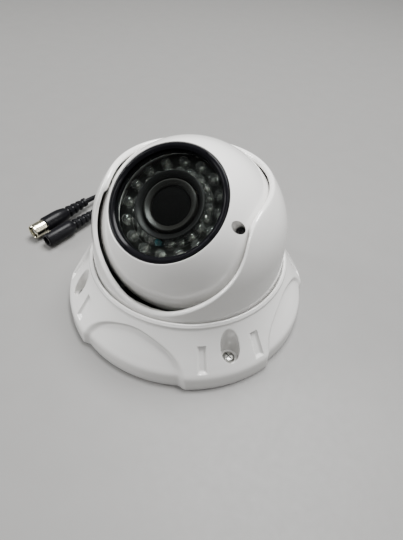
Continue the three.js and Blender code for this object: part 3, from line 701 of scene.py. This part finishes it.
def pocket_bosses():
    """The walls and floors of the screw pockets, trimmed a little inside the base's outside."""
    wide = POCKET_RADIUS + POCKET_WALL
    inner, top = YOKE_FLANGE_RADIUS + 0.6, 29.0
    outside = flank(0.0, top, 40)
    body = hoop(
        lambda angle: [(r - 0.3 - scallop_depth(angle, z), z) for r, z in outside]
        + [(inner, top), (inner, 0)],
        360,
    )
    bosses = piece(
        "pocket_bosses",
        [pocket(wide, POCKET_FLOOR - POCKET_FLOOR_WALL, angle) for angle in ZONE_ANGLES],
        "white_paint",
        "base",
    )
    carve(bosses, [body], "INTERSECT")
    return bosses


def soften_pocket_edges(mesh):
    """Rounds over the sharp edge where each pocket breaks out of the base's side."""
    table = [(z, r) for r, z in FLANK]
    centres = [outwards(angle, POCKET_DISTANCE).translation for angle in ZONE_ANGLES]
    reach_of_edge = 0.75
    builder = bmesh.new()
    builder.from_mesh(mesh)
    near = []
    for vert in builder.verts:
        place = vert.co / MM
        if place.z < POCKET_FLOOR + 1.5:
            continue
        reach = min((place.xy - centre.xy).length for centre in centres)
        side = place.xy.length - eased(table, min(place.z, 32.3))
        if abs(reach - POCKET_RADIUS) < reach_of_edge and abs(side) < reach_of_edge:
            near.append(vert)
    axes = {"use_axis_x": True, "use_axis_y": True, "use_axis_z": True}
    for _ in range(8):
        bmesh.ops.smooth_vert(builder, verts=near, factor=0.5, **axes)
    builder.to_mesh(mesh)
    builder.free()


def make_base():
    skin = [hoop(cover_outline, 720)]
    cover = piece("base_cover_skin", skin, "white_paint", "base", ["base_cover"], sharp=50)
    join_objects(cover, pocket_bosses())
    carve(cover, [pocket(POCKET_RADIUS, POCKET_FLOOR, angle) for angle in ZONE_ANGLES])
    bore = lathe([(0.001, 5), (2.0, 5), (2.0, 20), (0.001, 20)], 32)
    carve(cover, [moved(bore, outwards(angle, POCKET_DISTANCE)) for angle in ZONE_ANGLES])
    radius, height = 4.7, 5.2  # the notch for the grommet, at the back
    notch_place = Matrix.Translation((0, 55, height)) @ Matrix.Rotation(-math.pi / 2, 4, "X")
    notch = moved(lathe([(0.001, 0), (radius, 0), (radius, 20), (0.001, 20)], 32), notch_place)
    slot_below = moved(block(2 * radius, 20, -1, height), Matrix.Translation((0, 65, 0)))
    carve(cover, [notch, slot_below])
    soften_pocket_edges(cover.data)
    smooth(cover.data, 50)
    for i, angle in enumerate(ZONE_ANGLES):
        cover_screw(f"cover_screw_{i + 1}", angle)


def cover_screw(node, angle):
    head = 3.2
    outline = [(0.001, -2), (1.5, -2), (1.5, 0), (head, 0), (head, 0.8)]
    outline += [(3.0, 1.25), (2.5, 1.65), (1.6, 1.86), (0.001, 1.9)]
    place = outwards(angle, POCKET_DISTANCE, POCKET_FLOOR + 0.3)
    made = piece(node + "_skin", [lathe(outline, 40)], "steel", "base", [node], place, 30)
    wing = [(-0.5, -2.1), (0.5, -2.1), (0.28, 0), (0.5, 2.1), (-0.5, 2.1), (-0.28, 0)]
    turns = [place @ Matrix.Rotation(turn, 4, "Z") for turn in (0.35, 0.35 + math.pi / 2)]
    carve(made, [moved(prism(wing, 0.7, 3), turn) for turn in turns])
    smooth(made.data, 30)


# ---------- yoke ----------


def rim_elevation(angle):
    return eased(RIM, abs((angle + 180) % 360 - 180))


def yoke_point(elevation, outside):
    lip = step(YOKE_LIP_FROM, YOKE_LIP_TO, elevation)
    inside = YOKE_INSIDE + (YOKE_LIP_RADIUS - YOKE_INSIDE) * lip
    radius = YOKE_RADIUS - RIM_TAPER * max(elevation, 0) if outside else inside
    if elevation >= 0:
        angle = math.radians(elevation)
        return radius * math.cos(angle), BALL_HEIGHT + radius * math.sin(angle)
    spread = (YOKE_SKIRT_RADIUS - YOKE_RADIUS) * min(-elevation / 16, 1) if outside else 0
    return radius + spread, BALL_HEIGHT + radius * math.tan(math.radians(elevation))


def yoke_outline(angle):
    rim, low, steps = rim_elevation(angle), -19.0, 36
    shoulder = rim - 1.3
    rises = [low + (shoulder - low) * i / steps for i in range(steps + 1)]
    outside = [yoke_point(rise, True) for rise in rises]
    inside = [yoke_point(rise, False) for rise in reversed(rises)]
    outer, inner = Vector(outside[-1]), Vector(inside[0])
    middle, half = (outer + inner) / 2, (outer - inner) / 2
    up = Vector((-half.y, half.x))
    crown = [middle + half * math.cos(a) + up * math.sin(a) for a in (math.pi * k / 10 for k in range(1, 10))]
    foot = [
        (YOKE_INSIDE, YOKE_BOTTOM),
        (YOKE_FLANGE_RADIUS, YOKE_BOTTOM),
        (YOKE_FLANGE_RADIUS, YOKE_FLANGE_TOP),
        (YOKE_SKIRT_RADIUS, YOKE_FLANGE_TOP + 0.6),
    ]
    return foot + outside + [tuple(p) for p in crown] + inside


def make_yoke():
    piece("yoke_skin", [hoop(yoke_outline, 480)], "white_paint", "yoke", ["yoke_shell"], YOKE, 40)


# ---------- ball ----------


def make_ball():
    inside = BALL_RADIUS - BALL_WALL
    bore = TRIM_RADIUS + 0.3
    edge = math.degrees(math.acos((bore + 0.8) / BALL_RADIUS))
    front = arc(BALL_RADIUS, 0.3, edge, 60)
    ledge, ledge_top, ledge_bottom = 27.0, 31.3, 29.3
    front += [(bore + 0.35, FACE - 0.45), (bore + 0.1, FACE - 0.65), (bore, FACE - 1.0), (bore, ledge_top)]
    front += [(ledge, ledge_top), (ledge, ledge_bottom)]
    front += arc(inside, math.degrees(math.asin(ledge_bottom / inside)), 0.3, 24)
    skin = [lathe(front, 240)]
    shell = piece("ball_front_skin", skin, "white_paint", "ball_front", ["ball_front_shell"], BALL, 40)
    shell_places = [
        BALL @ Matrix.Rotation(math.radians(around), 4, "Z") @ Matrix.Translation((SIDE_SCREW_DISTANCE, 0, 0))
        for around in SIDE_SCREW_AROUND
    ]
    low, high = 9, 32
    column = lathe([(0.001, low), (SIDE_SCREW_COLUMN, low), (SIDE_SCREW_COLUMN, high), (0.001, high)], 48)
    pillars = [moved(column, place) for place in shell_places]
    columns = piece("side_screw_columns", pillars, "white_paint", "ball_front")
    filling = lathe(arc(BALL_RADIUS - 1.2, -89.9, 89.9, 90), 120)
    carve(columns, [moved(filling, BALL)], "INTERSECT")
    join_objects(shell, columns)
    wide = [(SIDE_SCREW_HOLE, SIDE_SCREW_FLOOR + 0.5 * i) for i in range(37)]
    hole = lathe([(0.001, SIDE_SCREW_FLOOR), *wide, (0.001, SIDE_SCREW_FLOOR + 18)], 56)
    carve(shell, [moved(hole, place) for place in shell_places])
    for i, place in enumerate(shell_places):
        side_screw(f"side_screw_{i + 1}", place)
    smooth(shell.data, 40)
    rear = arc(REAR_RADIUS, -79, -0.3, 48) + arc(inside, -0.3, -79, 24)
    piece("ball_rear_skin", [lathe(rear, 160)], "white_paint", "ball_rear", ["ball_rear_shell"], BALL, 40)


def side_screw(node, place):
    low = SIDE_SCREW_FLOOR + 0.3
    head = [(0.001, low), (2.3, low), (2.3, low + 1.3), (2.05, low + 1.75)]
    head += [(1.15, low + 1.8), (1.1, low + 0.7), (0.001, low + 0.6)]  # the hollow of its socket
    piece(node + "_skin", [lathe(head, 32)], "black_steel", "ball_front", [node], place, 30)


def make_window():
    trim = [
        (TRIM_RADIUS, 31.6),
        (TRIM_RADIUS, FACE - 0.6),
        (TRIM_RADIUS - 0.15, FACE - 0.2),
        (TRIM_RADIUS - 0.5, FACE),
        (27.9, FACE),
        (27.5, FACE - 0.1),
        (TRIM_WINDOW, 35.6),
        (TRIM_WINDOW, 35.1),
        (27.9, 35.1),
        (27.9, 31.6),
    ]
    ring = piece("trim_skin", [lathe(trim, 192)], "black_gloss", "ball_front", ["trim_ring"], BALL, 35)
    dot = lathe([(0.001, FACE - 0.5), (0.45, FACE - 0.5), (0.45, FACE + 1), (0.001, FACE + 1)], 16)
    for around in (-14, 76, 166, 256):
        turn = BALL @ Matrix.Rotation(math.radians(around), 4, "Z") @ Matrix.Translation((28.4, 0, 0))
        carve(ring, [moved(dot, turn)])
    smooth(ring.data, 35)
    pane = lathe([(0.001, 33.1), (27.5, 33.1), (27.6, 33.2), (27.6, 34.7), (27.5, 34.8), (0.001, 34.8)], 128)
    piece("window_skin", [pane], "window_clear", "ball_front", ["window_glass"], BALL, 35)


def lamp_body():
    """A 5 mm lamp: a flange, a straight side and a domed top."""
    shoulder = LAMP_TIP - LAMP_RADIUS
    low, wide = LAMP_PLATE + 0.85, LAMP_RADIUS + 0.15
    flange = [(0.001, low), (wide, low), (wide, LAMP_PLATE + 1.6), (LAMP_RADIUS, LAMP_PLATE + 1.7)]
    return flange + arc(LAMP_RADIUS, 0, 88, 14, shoulder) + [(0.001, LAMP_TIP)]


def lamp_cup():
    """The lamp's inner cup, which gathers the light of its chip."""
    low = LAMP_PLATE + 1.2
    high, bottom = low + 1.0, low + 0.4
    return [(0.001, low), (0.5, low), (0.85, high), (0.7, high), (0.35, bottom), (0.001, bottom)]


def make_lamps():
    for node, distance, count, start, skipped in LAMP_RINGS:
        turns = [math.radians(start + 360 / count * i) for i in range(skipped, count)]
        places = [Matrix.Rotation(turn, 4, "Z") @ Matrix.Translation((distance, 0, 0)) for turn in turns]
        bodies = [moved(lathe(lamp_body(), 28), p) for p in places]
        piece(node + "_skin", bodies, "lamp_resin", "ball_front", [node], BALL, 30)
        cups = [moved(lathe(lamp_cup(), 20), p) for p in places]
        piece(node + "_cups", cups, "lamp_resin", "ball_front", (), BALL, 30, look="lead_frame")
        near, far, top = distance - 1.5, distance + 1.5, LAMP_PLATE + 0.8
        holder = lathe([(near, LAMP_PLATE), (far, LAMP_PLATE), (far, top), (near, top)], 96)
        piece(node + "_holder", [holder], "lamp_resin", "ball_front", (), BALL, look="dark_board")
    sensor = [(0.001, 26.0), (2.0, 26.0)] + arc(2.0, 0, 88, 10, 28.7) + [(0.001, 30.7)]
    turn = BALL @ Matrix.Rotation(math.radians(-82), 4, "Z") @ Matrix.Translation((18.1, 0, 0))
    piece("light_sensor_skin", [lathe(sensor, 32)], "sensor_resin", "ball_front", ["light_sensor"], turn, 30)


def make_lens():
    hood = [
        (13.9, 22.7),
        (14.7, 22.7),
        (14.9, 31.3),
        (17.0, 31.9),
        (17.25, 32.3),
        (17.2, 32.7),
        (16.9, 32.8),
        (16.5, 32.7),
        (14.3, 31.0),
        (14.0, 30.4),
    ]
    piece("lens_hood_skin", [lathe(hood, 128)], "black_matte", "ball_front", ["lens_hood"], BALL, 30)
    barrel = [
        (8.2, 24.0),
        (10.8, 24.0),
        (10.8, 18.2),
        (12.4, 18.2),
        (LENS_RADIUS, 20.0),
        (LENS_RADIUS, 31.5),
        (13.05, 32.0),
        (12.7, 32.3),
        (12.3, 32.3),
        (10.5, 31.3),
        (10.2, 30.9),
        (10.1, 29.6),
        (7.4, 29.6),
        (7.4, 26.0),
        (8.2, 26.0),
    ]
    skin, node = [lathe(barrel, 128)], ["front_barrel"]
    piece("front_barrel_skin", skin, "black_matte", "ball_front", node, BALL, 25, look="lens_ring")
    glass = [(0.001, 27.0), (7.0, 27.0), (7.0, 29.9), (9.8, 29.9)] + arc(36, 74.2, 89.9, 16, -4.5)
    piece("front_lens_skin", [lathe(glass, 96)], "lens_glass", "ball_front", ["front_lens"], BALL, 30)


# ---------- everything ----------


def finish_cad_nodes():
    """Gives every CAD node that still shows the look of its material slot."""
    slot_of = {part["node"]: part["material_slot"] for part in frame["record"]["subparts"]}
    for name, made in nodes.items():
        made.data.materials.clear()
        made.data.materials.append(LOOKS[slot_of[name]])


make_camera()
make_cords()
make_stage()
make_base()
make_yoke()
make_ball()
make_window()
make_lamps()
make_lens()
finish_cad_nodes()
